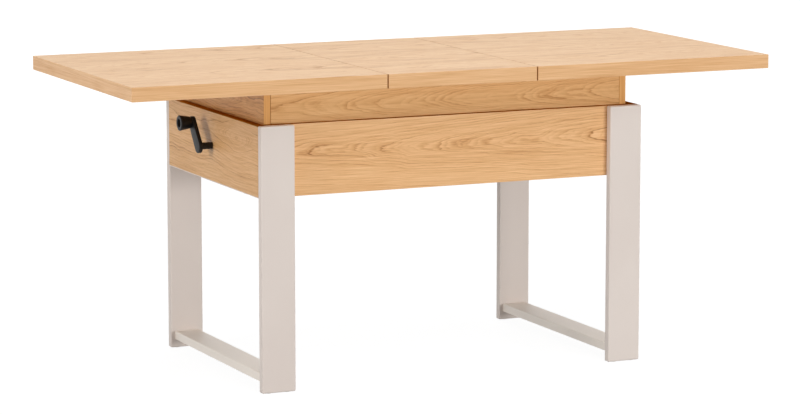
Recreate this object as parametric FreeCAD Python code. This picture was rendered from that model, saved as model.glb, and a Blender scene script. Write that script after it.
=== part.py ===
import FreeCAD, Part
import math
import os

# Extending coffee table on two leg frames. A crank in the left end turns a spindle, the spindle
# spreads a scissor, and the scissor lifts a case that carries two sliding tops and a loose leaf.
# X runs along the table, Y is its depth with the front at -Y, Z is up from the floor.
# All sizes are in millimetres, and the table is drawn half raised and fully extended.

# Table top
top_width = 670.0
half_length = 595.0
leaf_length = 364.8
top_thickness = 32.0
top_edge_round = 0.8
seam_gap = 1.6

# Leg frames, set in from the edges of the closed top
end_overhang = 126.0
side_overhang = 39.0
leg_top = 594.0
leg_width = 80.0
leg_thickness = 19.0
leg_edge_round = 3.0
foot_rail_width = 59.0
foot_rail_thickness = 20.0
foot_rail_height = 20.0
foot_rail_round = 2.0
glide_diameter = 12.0
glide_height = 1.0
glide_spacing = 44.0

# Boards of the outer box and of the lifting case
board = 16.0
board_edge_round = 0.5
apron_height = 160.0
case_side_gap = 2.5
case_end_gap = 6.0
case_joint_gap = 0.8
slide_gap = 0.3

# Travel of the lifting case from the drawn position
lift_rest = 74.0
lowered_gap = 4.0
lift_up = 40.0

# Carrier rails below and tray above the scissor
carrier_inset = 2.0
carrier_width = 120.0
carrier_clearance = 2.0
carrier_margin = 6.0
leaf_bay = 36.0
tray_thickness = 3.0
tray_play = 0.5
tray_rail_width = 90.0

# Scissor
arm_reach = 520.0
arm_width = 20.0
arm_thickness = 5.0
arm_gap = 1.0
fixed_pivot_x = 255.0
channel_inset = 36.5
channel_width = 22.0
channel_height = 26.0
channel_wall = 2.0
channel_end = 50.0
pivot_diameter = 10.0
pivot_play = 0.05
slot_play = 1.2
crossing_play = 1.5
rod_head_diameter = 15.0
rod_head_thickness = 2.5
rod_head_gap = 0.4

# Spindle, a little above the middle of the end panel, and its nut
spindle_rise = 2.5
shaft_diameter = 12.0
thread_diameter = 14.0
thread_depth = 1.75
thread_spare = 5.0
journal_diameter = 10.0
collar_diameter = 20.0
collar_length = 7.0
collar_gap = 0.2
bearing_gap = 8.0
bearing_wall = 5.0
bearing_width = 60.0
bearing_foot = 34.0
bearing_screw_inset = 20.0
bearing_screw_spread = 30.0
bearing_round = 20.0
nut_diameter = 24.0
nut_length = 24.0
nut_flange_diameter = 36.0
nut_flange_thickness = 6.0
bracket_thickness = 8.0
bracket_bar_round = 10.5
bracket_nut_round = 21.0
bush_diameter = 15.5
bush_flange_diameter = 34.0
bush_flange_thickness = 3.0
notch_play = 1.5

# Crank
sleeve_diameter = 14.0
sleeve_length = 27.4
sleeve_gap = 0.4
drive_end_diameter = 8.0
drive_end_depth = 4.0
crank_radius = 63.0
crank_tilt = 38.0
crank_hub_round = 14.0
crank_tip_round = 13.2
crank_arm_thickness = 8.8
crank_edge_round = 2.5
grip_length = 28.0
grip_gap = 0.4
grip_base_diameter = 26.0
grip_lip_diameter = 34.0
grip_lip_round = 3.0
grip_recess_diameter = 19.0
grip_recess_depth = 12.0
axle_diameter = 8.0
axle_head_diameter = 14.0
axle_head_thickness = 4.0

# Tracks and runners of the sliding tops
track_drop = 4.0
track_height = 30.0
track_depth = 14.0
track_wall = 2.0
track_slot = 12.0
track_end_gap = 2.0
track_middle_gap = 16.0
runner_play = 0.5
runner_seam_gap = 24.0
runner_width = 25.0
runner_lip_gap = 1.0
runner_base_gap = 4.0
insert_play = 30.0

# Guide pads between the case and the outer box
pad_length = 60.0
pad_height = 14.0
pad_lift = 4.0
pad_running_gap = 0.3
side_pad_x = 300.0
end_pad_y = 150.0

# Fasteners
dowel_diameter = 8.0
dowel_short = 10.0
dowel_long = 22.0
dowel_spread = 32.0
dowel_edge = 40.0
screw_diameter = 4.0
screw_head_diameter = 8.0
screw_head_depth = 2.0
screw_length = 14.0
runner_screw_length = 43.0
runner_screw_edge = 35.0
bolt_diameter = 6.0
bolt_head_diameter = 12.0
bolt_head_depth = 3.0
bolt_bite = 13.0
bolt_edge = 35.0
channel_screw_offset = 40.0
track_screw_edge = 40.0

# Places worked out from the sizes above
seam_x = leaf_length / 2 + seam_gap
base_length = 2 * (half_length - end_overhang)
base_width = top_width - 2 * side_overhang
top_under = leg_top + lift_rest
lift_down = lift_rest - lowered_gap
case_top = top_under - slide_gap
apron_bottom = leg_top - apron_height
apron_out_x = base_length / 2
apron_in_x = apron_out_x - board
apron_out_y = base_width / 2 - leg_thickness
apron_in_y = apron_out_y - board
case_out_x = apron_in_x - case_end_gap
case_out_y = apron_in_y - case_side_gap
case_in_x = case_out_x - board
case_in_y = case_out_y - board
channel_y = case_in_y - channel_inset
carrier_under = apron_bottom + carrier_inset
carrier_top = carrier_under + board
case_bottom = carrier_top + carrier_clearance + lift_down
tray_top = case_top - leaf_bay
tray_under = tray_top - tray_thickness
tray_rail_under = tray_under - board
leg_x = base_length / 2 - leg_width / 2
foot_rail_x = leg_x
lower_pivot_z = carrier_top + channel_height / 2
upper_pivot_z = tray_rail_under - channel_height / 2
rise = upper_pivot_z - lower_pivot_z


def sliding_x(height):
    return fixed_pivot_x - math.sqrt(arm_reach ** 2 - height ** 2)


sliding_pivot_x = sliding_x(rise)
sliding_low_x = sliding_x(rise - lift_down)
sliding_high_x = sliding_x(rise + lift_up)
crossing_x = (fixed_pivot_x + sliding_pivot_x) / 2
crossing_z = (lower_pivot_z + upper_pivot_z) / 2
spindle_z = leg_top - apron_height / 2 + spindle_rise
bearing_x = sliding_high_x + nut_length + bearing_gap + collar_length + collar_gap
left_carrier_x = bearing_x + bearing_foot + carrier_margin - carrier_width / 2
channel_start = sliding_low_x - channel_end / 2
channel_stop = fixed_pivot_x + channel_end
channel_screw_left = sliding_high_x + channel_screw_offset
channel_screw_right = fixed_pivot_x + channel_screw_offset
panel_x = -apron_out_x
arm_face_x = panel_x - sleeve_length
grip_face_x = arm_face_x - crank_arm_thickness
crank_y = crank_radius * math.sin(math.radians(crank_tilt))
crank_z = spindle_z + crank_radius * math.cos(math.radians(crank_tilt))
track_outer_x = case_in_x - track_end_gap
runner_outer_x = track_outer_x - insert_play
runner_length = runner_outer_x - seam_x - runner_seam_gap

axis_x = FreeCAD.Vector(1, 0, 0)
axis_y = FreeCAD.Vector(0, 1, 0)
axis_z = FreeCAD.Vector(0, 0, 1)
signs = (-1, 1)
side_names = {-1: "front", 1: "back"}
end_names = {-1: "left", 1: "right"}
nodes = {}


def point(x, y, z):
    return FreeCAD.Vector(x, y, z)


def box(xs, ys, zs):
    """Box between two values on each axis, given in either order."""
    low = point(min(xs), min(ys), min(zs))
    return Part.makeBox(abs(xs[1] - xs[0]), abs(ys[1] - ys[0]), abs(zs[1] - zs[0]), low)


def soft_box(xs, ys, zs, radius):
    """Board with all its edges rounded."""
    solid = box(xs, ys, zs)
    return solid.makeFillet(radius, solid.Edges)


def rod(diameter, start, axis, length):
    return Part.makeCylinder(diameter / 2, length, start, axis)


def tube(outer, inner, start, axis, length):
    return rod(outer, start, axis, length).cut(rod(inner, start, axis, length))


def countersunk(start, axis, shank, head, head_depth, length):
    """Screw with a flush conical head, driven from start along axis."""
    cone = Part.makeCone(head / 2, shank / 2, head_depth, start, axis)
    stem = rod(shank, start + axis * head_depth, axis, length - head_depth)
    return cone.fuse(stem).removeSplitter()


def wood_screw(start, axis):
    return countersunk(start, axis, screw_diameter, screw_head_diameter, screw_head_depth, screw_length)


def prism(corners, along):
    """Straight-sided profile swept along a vector."""
    wire = Part.makePolygon(corners + corners[:1])
    return Part.Face(wire).extrude(along)


def link(first, second, first_round, second_round, along):
    """Flat link with a round end about each of two points, swept along a vector."""
    run = second - first
    ahead = run / run.Length
    across = FreeCAD.Vector(along).cross(ahead).normalize()
    lean = (first_round - second_round) / run.Length
    upright = math.sqrt(1 - lean ** 2)
    over = ahead * lean + across * upright
    under = ahead * lean - across * upright
    edges = [
        Part.Arc(first + over * first_round, first - ahead * first_round, first + under * first_round),
        Part.LineSegment(first + under * first_round, second + under * second_round),
        Part.Arc(second + under * second_round, second + ahead * second_round, second + over * second_round),
        Part.LineSegment(second + over * second_round, first + over * first_round),
    ]
    wire = Part.Wire([edge.toShape() for edge in edges])
    return Part.Face(wire).extrude(along)


def cut_all(solid, tools):
    """Solid less each of the tools that meets it."""
    for tool in tools:
        if solid.BoundBox.intersect(tool.BoundBox):
            solid = solid.cut(tool)
    return solid


def group(solids):
    return Part.makeCompound(solids)


# Fasteners of the base, which its boards are drilled for
leg_bolts = []
frame_dowels = []
base_screws = []
bolt_x = apron_in_x - (leg_width - board) / 2
for x_sign in signs:
    for y_sign in signs:
        for height in (leg_top - bolt_edge, apron_bottom + bolt_edge):
            head = point(x_sign * bolt_x, y_sign * apron_in_y, height)
            leg_bolts.append(countersunk(head, axis_y * y_sign, bolt_diameter, bolt_head_diameter,
                                         bolt_head_depth, board + bolt_bite))
        for height in (leg_top - dowel_edge, apron_bottom + dowel_edge):
            start = point(x_sign * (apron_in_x - dowel_long), y_sign * (apron_out_y - board / 2), height)
            frame_dowels.append(rod(dowel_diameter, start, axis_x * x_sign, dowel_long + dowel_short))
        for offset in signs:
            rail_z = foot_rail_height + foot_rail_thickness / 2
            rail_x = x_sign * foot_rail_x + offset * dowel_spread / 2
            start = point(rail_x, y_sign * (apron_out_y - dowel_long), rail_z)
            frame_dowels.append(rod(dowel_diameter, start, axis_y * y_sign, dowel_long + dowel_short))
            middle = left_carrier_x if x_sign < 0 else fixed_pivot_x
            start = point(middle + offset * carrier_width / 4, y_sign * (apron_in_y - dowel_long),
                          carrier_under + board / 2)
            frame_dowels.append(rod(dowel_diameter, start, axis_y * y_sign, dowel_long + dowel_short))
for y_sign in signs:
    for x in (channel_screw_left, channel_screw_right):
        base_screws.append(wood_screw(point(x, y_sign * channel_y, carrier_top + channel_wall), -axis_z))
    foot_screw = point(bearing_x + bearing_screw_inset, y_sign * bearing_screw_spread / 2,
                       carrier_top + bearing_wall)
    base_screws.append(wood_screw(foot_screw, -axis_z))
nodes["leg_bolts"] = group(leg_bolts)
nodes["frame_dowels"] = group(frame_dowels)
nodes["base_screws"] = group(base_screws)

# Legs, each with two glides, and the foot rails between them
glides = []
for x_sign in signs:
    for y_sign in signs:
        xs = (x_sign * base_length / 2, x_sign * (base_length / 2 - leg_width))
        ys = (y_sign * base_width / 2, y_sign * apron_out_y)
        leg = soft_box(xs, ys, (glide_height, leg_top), leg_edge_round)
        name = "leg_%s_%s" % (side_names[y_sign], end_names[x_sign])
        nodes[name] = cut_all(leg, leg_bolts + frame_dowels)
        for offset in signs:
            foot = point(x_sign * leg_x + offset * glide_spacing / 2, sum(ys) / 2, 0)
            glides.append(rod(glide_diameter, foot, axis_z, glide_height))
    rail = box(
        (x_sign * foot_rail_x - foot_rail_width / 2, x_sign * foot_rail_x + foot_rail_width / 2),
        (-apron_out_y, apron_out_y),
        (foot_rail_height, foot_rail_height + foot_rail_thickness),
    )
    long_edges = [edge for edge in rail.Edges if abs(edge.tangentAt(edge.FirstParameter).y) > 0.5]
    rail = rail.makeFillet(foot_rail_round, long_edges)
    nodes["foot_rail_" + end_names[x_sign]] = cut_all(rail, frame_dowels)
nodes["foot_glides"] = group(glides)

# Outer box: long aprons between the end panels, and carrier rails across its underside
spindle_start = point(panel_x, 0, spindle_z)
bush_hole = rod(bush_diameter, spindle_start, axis_x, board)
apron_zs = (apron_bottom, leg_top)
for y_sign in signs:
    apron = soft_box((-apron_in_x, apron_in_x), (y_sign * apron_in_y, y_sign * apron_out_y), apron_zs,
                     board_edge_round)
    nodes["apron_" + side_names[y_sign]] = cut_all(apron, leg_bolts + frame_dowels)
for x_sign in signs:
    panel = soft_box((x_sign * apron_in_x, x_sign * apron_out_x), (-apron_out_y, apron_out_y), apron_zs,
                     board_edge_round)
    nodes["apron_" + end_names[x_sign]] = cut_all(panel, frame_dowels + [bush_hole])
    middle = left_carrier_x if x_sign < 0 else fixed_pivot_x
    carrier = box((middle - carrier_width / 2, middle + carrier_width / 2), (-apron_in_y, apron_in_y),
                  (carrier_under, carrier_top))
    nodes["carrier_rail_" + end_names[x_sign]] = cut_all(carrier, frame_dowels + base_screws)

# Bush in the left end panel, flanged on the inside, and the bearing plate at the spindle's far end
bush_bore = shaft_diameter + 2 * pivot_play
bush_flange = rod(bush_flange_diameter, spindle_start + axis_x * board, axis_x, bush_flange_thickness)
bush_length = board + bush_flange_thickness
spindle_bush = bush_hole.fuse(bush_flange).cut(rod(bush_bore, spindle_start, axis_x, bush_length))
nodes["spindle_bush"] = spindle_bush.removeSplitter()
plate_base = point(bearing_x, 0, carrier_top + bearing_width / 2)
plate_head = point(bearing_x, 0, spindle_z)
plate = link(plate_base, plate_head, bearing_width / 2, bearing_round, axis_x * bearing_wall)
plate = plate.fuse(box((bearing_x, bearing_x + bearing_wall), (-bearing_width / 2, bearing_width / 2),
                       (carrier_top, carrier_top + bearing_width / 2)))
foot = box((bearing_x, bearing_x + bearing_foot), (-bearing_width / 2, bearing_width / 2),
           (carrier_top, carrier_top + bearing_wall))
journal_hole = rod(journal_diameter + 2 * pivot_play, plate_head, axis_x, bearing_wall)
bearing = plate.fuse(foot).cut(journal_hole).removeSplitter()
nodes["spindle_bearing"] = cut_all(bearing, base_screws)

# Lifting case: end boards cover the ends of the long boards, and the left one is notched.
# A shadow line is left open between the long boards and the end boards.
case_dowels = []
case_screws = []
for x_sign in signs:
    rail_x = sliding_pivot_x if x_sign < 0 else fixed_pivot_x
    for y_sign in signs:
        for height in (case_top - dowel_edge, case_bottom + dowel_edge):
            start = point(x_sign * (case_in_x - dowel_long), y_sign * (case_out_y - board / 2), height)
            case_dowels.append(rod(dowel_diameter, start, axis_x * x_sign, dowel_long + dowel_short))
        for offset in signs:
            start = point(rail_x + offset * tray_rail_width / 4, y_sign * (case_in_y - dowel_long),
                          tray_rail_under + board / 2)
            case_dowels.append(rod(dowel_diameter, start, axis_y * y_sign, dowel_long + dowel_short))
        track_middle_x = (track_outer_x + track_middle_gap / 2) / 2
        for x in (track_middle_gap / 2 + track_screw_edge, track_middle_x, track_outer_x - track_screw_edge):
            head = point(x_sign * x, y_sign * (case_in_y - track_wall),
                         case_top - track_drop - track_height / 2)
            case_screws.append(wood_screw(head, axis_y * y_sign))
for y_sign in signs:
    for x in (channel_screw_left, channel_screw_right):
        head = point(x, y_sign * channel_y, tray_rail_under - channel_wall)
        case_screws.append(wood_screw(head, axis_z))
nodes["case_dowels"] = group(case_dowels)
nodes["case_screws"] = group(case_screws)

case_zs = (case_bottom, case_top)
notch_half = shaft_diameter / 2 + notch_play
notch_top = spindle_z + lift_down
notch = box((-case_out_x, -case_in_x), (-notch_half, notch_half), (case_bottom, notch_top))
notch = notch.fuse(rod(2 * notch_half, point(-case_out_x, 0, notch_top), axis_x, board))
for y_sign in signs:
    wall_end = case_in_x - case_joint_gap
    wall = box((-wall_end, wall_end), (y_sign * case_in_y, y_sign * case_out_y), case_zs)
    nodes["case_" + side_names[y_sign]] = cut_all(wall, case_dowels + case_screws)
for x_sign in signs:
    wall = soft_box((x_sign * case_in_x, x_sign * case_out_x), (-case_out_y, case_out_y), case_zs,
                    board_edge_round)
    nodes["case_" + end_names[x_sign]] = cut_all(wall, case_dowels + [notch])
    middle = sliding_pivot_x if x_sign < 0 else fixed_pivot_x
    rail = box((middle - tray_rail_width / 2, middle + tray_rail_width / 2), (-case_in_y, case_in_y),
               (tray_rail_under, tray_under))
    nodes["tray_rail_" + end_names[x_sign]] = cut_all(rail, case_dowels + case_screws)
tray_x = case_in_x - tray_play
tray_y = case_in_y - tray_play
nodes["leaf_tray"] = box((-tray_x, tray_x), (-tray_y, tray_y), (tray_under, tray_top))

# Guide pads low on the outside of the case
pads = []
pad_zs = (case_bottom + pad_lift, case_bottom + pad_lift + pad_height)
for first in signs:
    for second in signs:
        pads.append(box(
            (first * side_pad_x - pad_length / 2, first * side_pad_x + pad_length / 2),
            (second * case_out_y, second * (apron_in_y - pad_running_gap)),
            pad_zs,
        ))
        pads.append(box(
            (first * case_out_x, first * (apron_in_x - pad_running_gap)),
            (second * end_pad_y - pad_length / 2, second * end_pad_y + pad_length / 2),
            pad_zs,
        ))
nodes["case_guides"] = group(pads)


# Slotted channels: the lower pair opens upwards, the upper pair downwards
def channel(y, web_z, up):
    """U channel with a hole for the fixed pivot and slots for the sliding one."""
    outer = (y - channel_width / 2, y + channel_width / 2)
    inner = (outer[0] + channel_wall, outer[1] - channel_wall)
    lip_z = web_z + up * channel_height
    body = box((channel_start, channel_stop), outer, (web_z, lip_z))
    body = body.cut(box((channel_start, channel_stop), inner, (web_z + up * channel_wall, lip_z)))
    pivot_z = web_z + up * channel_height / 2
    low = point(sliding_low_x, outer[0], pivot_z)
    high = point(sliding_high_x, outer[0], pivot_z)
    slot_round = pivot_diameter / 2 + slot_play
    slot = link(low, high, slot_round, slot_round, axis_y * channel_width)
    hole = rod(pivot_diameter, point(fixed_pivot_x, outer[0], pivot_z), axis_y, channel_width)
    return body.cut(slot).cut(hole)


def headed_rod(x, z, half_length):
    """Rod across the table with a riveted head on each end."""
    stem = rod(pivot_diameter, point(x, -half_length, z), axis_y, 2 * half_length)
    for y_sign in signs:
        start = point(x, y_sign * half_length, z)
        stem = stem.fuse(rod(rod_head_diameter, start, axis_y * y_sign, rod_head_thickness))
    return stem.removeSplitter()


for y_sign in signs:
    side = side_names[y_sign]
    nodes["lower_channel_" + side] = cut_all(channel(y_sign * channel_y, carrier_top, 1), base_screws)
    nodes["upper_channel_" + side] = cut_all(channel(y_sign * channel_y, tray_rail_under, -1), case_screws)
rod_half_length = channel_y + channel_width / 2 + rod_head_gap
nodes["lower_pivot_rod"] = headed_rod(fixed_pivot_x, lower_pivot_z, rod_half_length)
nodes["upper_pivot_rod"] = headed_rod(fixed_pivot_x, upper_pivot_z, rod_half_length)

# Scissor arms: outer arms turn on the lower rod, inner arms hang from the upper rod
lower_fixed = point(fixed_pivot_x, 0, lower_pivot_z)
upper_fixed = point(fixed_pivot_x, 0, upper_pivot_z)
lower_sliding = point(sliding_pivot_x, 0, lower_pivot_z)
upper_sliding = point(sliding_pivot_x, 0, upper_pivot_z)
crossing = point(crossing_x, 0, crossing_z)
running_hole = pivot_diameter + 2 * pivot_play
crossing_hole = pivot_diameter + 2 * crossing_play


def arm(first, second, y, y_sign, holes):
    """Flat bar between two pivots, with its holes given as centre and diameter."""
    shift = point(0, y, 0)
    along = axis_y * (y_sign * arm_thickness)
    bar = link(first + shift, second + shift, arm_width / 2, arm_width / 2, along)
    for centre, diameter in holes:
        bar = bar.cut(rod(diameter, centre + shift, axis_y * y_sign, arm_thickness))
    return bar


arm_pins = []
for y_sign in signs:
    side = side_names[y_sign]
    outer_y = y_sign * (channel_y + arm_gap / 2)
    inner_y = y_sign * (channel_y - arm_gap / 2 - arm_thickness)
    nodes["outer_arm_" + side] = arm(lower_fixed, upper_sliding, outer_y, y_sign, [
        (lower_fixed, running_hole), (crossing, pivot_diameter), (upper_sliding, pivot_diameter)])
    nodes["inner_arm_" + side] = arm(lower_sliding, upper_fixed, inner_y, y_sign, [
        (lower_sliding, running_hole), (crossing, crossing_hole), (upper_fixed, running_hole)])
    pin_ends = {
        "crossing": (inner_y - y_sign * rod_head_gap, outer_y + y_sign * arm_thickness, crossing),
        "sliding": (y_sign * (channel_y - channel_width / 2 - rod_head_gap), y_sign * rod_half_length,
                    upper_sliding),
    }
    for inner_end, outer_end, centre in pin_ends.values():
        start = centre + axis_y * inner_end
        pin = rod(pivot_diameter, start, axis_y * y_sign, abs(outer_end - inner_end))
        pin = pin.fuse(rod(rod_head_diameter, start, axis_y * -y_sign, rod_head_thickness))
        stop = centre + axis_y * outer_end
        pin = pin.fuse(rod(rod_head_diameter, stop, axis_y * y_sign, rod_head_thickness))
        arm_pins.append(pin.removeSplitter())
nodes["outer_arm_pins"] = group(arm_pins)

# Cross bar that spreads the scissor, with the bracket that holds the nut up on the spindle
bar = headed_rod(sliding_pivot_x, lower_pivot_z, rod_half_length)
nodes["cross_bar"] = bar
nut_centre = point(sliding_pivot_x, 0, spindle_z)
bracket_back = axis_x * (-bracket_thickness / 2)
bracket = link(lower_sliding + bracket_back, nut_centre + bracket_back, bracket_bar_round, bracket_nut_round,
               axis_x * bracket_thickness)
nut_seat = rod(nut_diameter, nut_centre + bracket_back, axis_x, bracket_thickness)
nodes["nut_bracket"] = bracket.cut(bar).cut(nut_seat)
flange_start = nut_centre + bracket_back - axis_x * nut_flange_thickness
nut = rod(nut_diameter, flange_start, axis_x, nut_flange_thickness + nut_length)
nut = nut.fuse(rod(nut_flange_diameter, flange_start, axis_x, nut_flange_thickness))
nut = nut.cut(rod(thread_diameter, flange_start, axis_x, nut_flange_thickness + nut_length))
nodes["spindle_nut"] = nut.removeSplitter()

# Spindle: drive end in the crank, plain shaft, thread core under the nut, journal in the bearing
drive_end_x = grip_face_x + drive_end_depth
nut_reach = bracket_thickness / 2 + nut_flange_thickness + thread_spare
thread_start_x = sliding_low_x - nut_reach
journal_start_x = bearing_x - collar_gap - collar_length
journal_stop_x = bearing_x + bearing_wall + collar_gap + collar_length + collar_gap
spindle_steps = [
    (drive_end_x, panel_x, drive_end_diameter),
    (panel_x, thread_start_x, shaft_diameter),
    (thread_start_x, journal_start_x, thread_diameter - 2 * thread_depth),
    (journal_start_x, journal_stop_x, journal_diameter),
]
spindle_parts = [rod(size, point(start, 0, spindle_z), axis_x, stop - start)
                 for start, stop, size in spindle_steps]
spindle = spindle_parts[0].multiFuse(spindle_parts[1:])
nodes["spindle"] = spindle.removeSplitter()
nodes["thrust_collars"] = group([
    tube(collar_diameter, journal_diameter, point(x, 0, spindle_z), axis_x, collar_length)
    for x in (journal_start_x, bearing_x + bearing_wall + collar_gap)])

# Crank: arm and hub sleeve in one moulding, shouldered axle, conical grip that spins on it
hub = point(arm_face_x, 0, spindle_z)
grip_centre = point(arm_face_x, crank_y, crank_z)
blade = link(hub, grip_centre, crank_hub_round, crank_tip_round, axis_x * -crank_arm_thickness)
rims = [edge for edge in blade.Edges if abs(edge.BoundBox.XLength) < crank_edge_round]
blade = blade.makeFillet(crank_edge_round, rims)
sleeve = rod(sleeve_diameter, hub, axis_x, sleeve_length - sleeve_gap)
crank = blade.fuse(sleeve)
crank = crank.cut(rod(drive_end_diameter, point(drive_end_x, 0, spindle_z), axis_x, panel_x - drive_end_x))
crank = crank.cut(rod(axle_diameter, grip_centre, -axis_x, crank_arm_thickness))
nodes["crank_arm"] = crank.removeSplitter()

grip_start = point(grip_face_x - grip_gap, crank_y, crank_z)
grip_bore = axle_diameter / 2 + pivot_play
recess_floor = grip_length - grip_recess_depth
axle_length = crank_arm_thickness + grip_gap + recess_floor + grip_gap
axle = rod(axle_diameter, grip_centre, -axis_x, axle_length)
axle_end = grip_centre - axis_x * axle_length
axle = axle.fuse(rod(axle_head_diameter, axle_end, -axis_x, axle_head_thickness))
nodes["grip_axle"] = axle.removeSplitter()


def on_grip(depth, radius):
    """Point on the grip's profile, by distance from the arm and from the grip's axis."""
    return grip_start + point(-depth, 0, radius)


base_radius = grip_base_diameter / 2
lip_radius = grip_lip_diameter / 2
recess_radius = grip_recess_diameter / 2
grip_outline = [
    on_grip(0, grip_bore),
    on_grip(0, base_radius),
    on_grip(grip_length, lip_radius),
    on_grip(grip_length, recess_radius),
    on_grip(recess_floor, recess_radius),
    on_grip(recess_floor, grip_bore),
]
grip_face = Part.Face(Part.makePolygon(grip_outline + grip_outline[:1]))
grip = grip_face.revolve(grip_start, axis_x, 360)
widest = max(edge.BoundBox.YLength for edge in grip.Edges)
lip_rim = [edge for edge in grip.Edges if edge.BoundBox.YLength > 0.99 * widest]
nodes["crank_grip"] = grip.makeFillet(grip_lip_round, lip_rim)

# Tracks on the long boards of the case, and the runners under the sliding tops
track_top = case_top - track_drop
track_under = track_top - track_height
track_mid_z = track_top - track_height / 2


def track(x_sign, y_sign):
    """C profile with its web on the case wall and its slot towards the middle."""
    xs = (x_sign * track_middle_gap / 2, x_sign * track_outer_x)
    wall_y = y_sign * case_in_y
    face_y = wall_y - y_sign * track_depth
    web_y = wall_y - y_sign * track_wall
    lip_y = face_y + y_sign * track_wall
    body = box(xs, (wall_y, face_y), (track_under, track_top))
    cavity = box(xs, (web_y, lip_y), (track_under + track_wall, track_top - track_wall))
    opening = box(xs, (lip_y, face_y), (track_mid_z - track_slot / 2, track_mid_z + track_slot / 2))
    return cut_all(body.cut(cavity).cut(opening), case_screws)


def runner(x_sign, y_sign, screws):
    """Batten under the top with a T tongue that runs in the track."""
    outer_x = x_sign * runner_outer_x
    along = axis_x * (-x_sign * runner_length)
    head_half = track_height / 2 - track_wall - runner_play
    neck_half = track_slot / 2 - runner_play
    head_far = track_wall + runner_play
    head_near = track_depth - track_wall - runner_play
    face = track_depth + runner_lip_gap
    back = face + runner_width
    under = track_under + runner_base_gap
    outline = [
        (head_far, track_mid_z - head_half), (head_near, track_mid_z - head_half),
        (head_near, track_mid_z - neck_half), (face, track_mid_z - neck_half),
        (face, under), (back, under), (back, top_under), (face, top_under),
        (face, track_mid_z + neck_half), (head_near, track_mid_z + neck_half),
        (head_near, track_mid_z + head_half), (head_far, track_mid_z + head_half),
    ]
    corners = [point(outer_x, y_sign * (case_in_y - inward), z) for inward, z in outline]
    return cut_all(prism(corners, along), screws)


runner_mid_y = case_in_y - track_depth - runner_lip_gap - runner_width / 2
runner_under = track_under + runner_base_gap
for x_sign in signs:
    end = end_names[x_sign]
    screws = []
    for y_sign in signs:
        for inset in (runner_screw_edge, runner_length - runner_screw_edge):
            start = point(x_sign * (runner_outer_x - inset), y_sign * runner_mid_y, runner_under)
            screws.append(countersunk(start, axis_z, screw_diameter, screw_head_diameter,
                                      screw_head_depth, runner_screw_length))
    for y_sign in signs:
        side = side_names[y_sign]
        nodes["track_%s_%s" % (side, end)] = track(x_sign, y_sign)
        nodes["runner_%s_%s" % (side, end)] = runner(x_sign, y_sign, screws)
    nodes["runner_screws_" + end] = group(screws)
    xs = (x_sign * seam_x, x_sign * (seam_x + half_length))
    top = soft_box(xs, (-top_width / 2, top_width / 2), (top_under, top_under + top_thickness),
                   top_edge_round)
    nodes["top_" + end] = cut_all(top, screws)

# Loose leaf in the gap between the sliding tops
nodes["top_leaf"] = soft_box((-leaf_length / 2, leaf_length / 2), (-top_width / 2, top_width / 2),
                             (top_under, top_under + top_thickness), top_edge_round)

os.makedirs("parts", exist_ok=True)
for name, shape in nodes.items():
    shape.exportStep("parts/%s.step" % name)
print(len(nodes), "nodes")
print("arm angle at rest, degrees:", math.degrees(math.asin(rise / arm_reach)))
print("pivot heights:", lower_pivot_z, upper_pivot_z, "sliding pivot:", sliding_pivot_x)
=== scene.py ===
import bpy
import math
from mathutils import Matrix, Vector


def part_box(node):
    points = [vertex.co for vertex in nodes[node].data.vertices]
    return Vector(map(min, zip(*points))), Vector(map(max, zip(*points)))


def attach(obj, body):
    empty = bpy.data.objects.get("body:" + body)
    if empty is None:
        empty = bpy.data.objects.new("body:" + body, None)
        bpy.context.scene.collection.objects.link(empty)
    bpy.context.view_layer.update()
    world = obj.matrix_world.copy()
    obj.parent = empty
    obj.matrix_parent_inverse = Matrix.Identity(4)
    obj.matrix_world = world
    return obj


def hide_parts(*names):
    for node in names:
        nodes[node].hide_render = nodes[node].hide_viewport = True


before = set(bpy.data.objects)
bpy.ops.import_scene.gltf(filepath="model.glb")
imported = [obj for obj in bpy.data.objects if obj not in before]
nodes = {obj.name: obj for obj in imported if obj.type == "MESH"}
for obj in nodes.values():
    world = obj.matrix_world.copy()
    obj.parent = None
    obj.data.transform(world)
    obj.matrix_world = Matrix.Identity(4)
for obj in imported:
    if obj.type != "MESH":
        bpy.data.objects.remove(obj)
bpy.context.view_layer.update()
bpy.ops.object.select_all(action="DESELECT")
print("frame loaded:", len(nodes), "nodes")


# tints are picked as screen colours 0 to 255, the shader sockets want them linear
def tint(red, green, blue):
    def linear(level):  # the sRGB curve
        level /= 255
        return level / 12.92 if level <= 0.04045 else ((level + 0.055) / 1.055) ** 2.4
    return (linear(red), linear(green), linear(blue), 1.0)


# one shader node: sockets given as another node's output are linked, numbers are typed in
def addNode(tree, kind, sockets=None, **settings):
    made = tree.nodes.new("ShaderNode" + kind)
    for key, value in settings.items():
        setattr(made, key, value)
    for key, value in (sockets or {}).items():
        if isinstance(value, bpy.types.NodeSocket):
            tree.links.new(value, made.inputs[key])
        else:
            made.inputs[key].default_value = value
    return made


def calc(tree, operation, *values):
    return addNode(tree, "Math", dict(enumerate(values)), operation=operation).outputs[0]


def centred(tree, value):  # noise lies round 0.5
    return calc(tree, "SUBTRACT", value, 0.5)


def spread(tree, value, fromLow, fromHigh, toLow, toHigh):
    return addNode(tree, "MapRange", {"Value": value, "From Min": fromLow, "From Max": fromHigh,
                                      "To Min": toLow, "To Max": toHigh}).outputs[0]


# the colour sockets of a Mix node come after those for numbers and vectors
def blend(tree, factor, colour, other):
    return addNode(tree, "Mix", {0: factor, 6: colour, 7: other}, data_type="RGBA").outputs[2]


def ramp(tree, value, stops):
    made = addNode(tree, "ValToRGB", {0: value})
    while len(made.color_ramp.elements) < len(stops):
        made.color_ramp.elements.new(0.5)
    for element, (place, colour) in zip(made.color_ramp.elements, stops):
        element.position = place
        element.color = colour
    return made.outputs[0]


seedSteps = (1.0, 1.7, 0.6)  # how far a seed moves a noise along x, y and z


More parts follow.
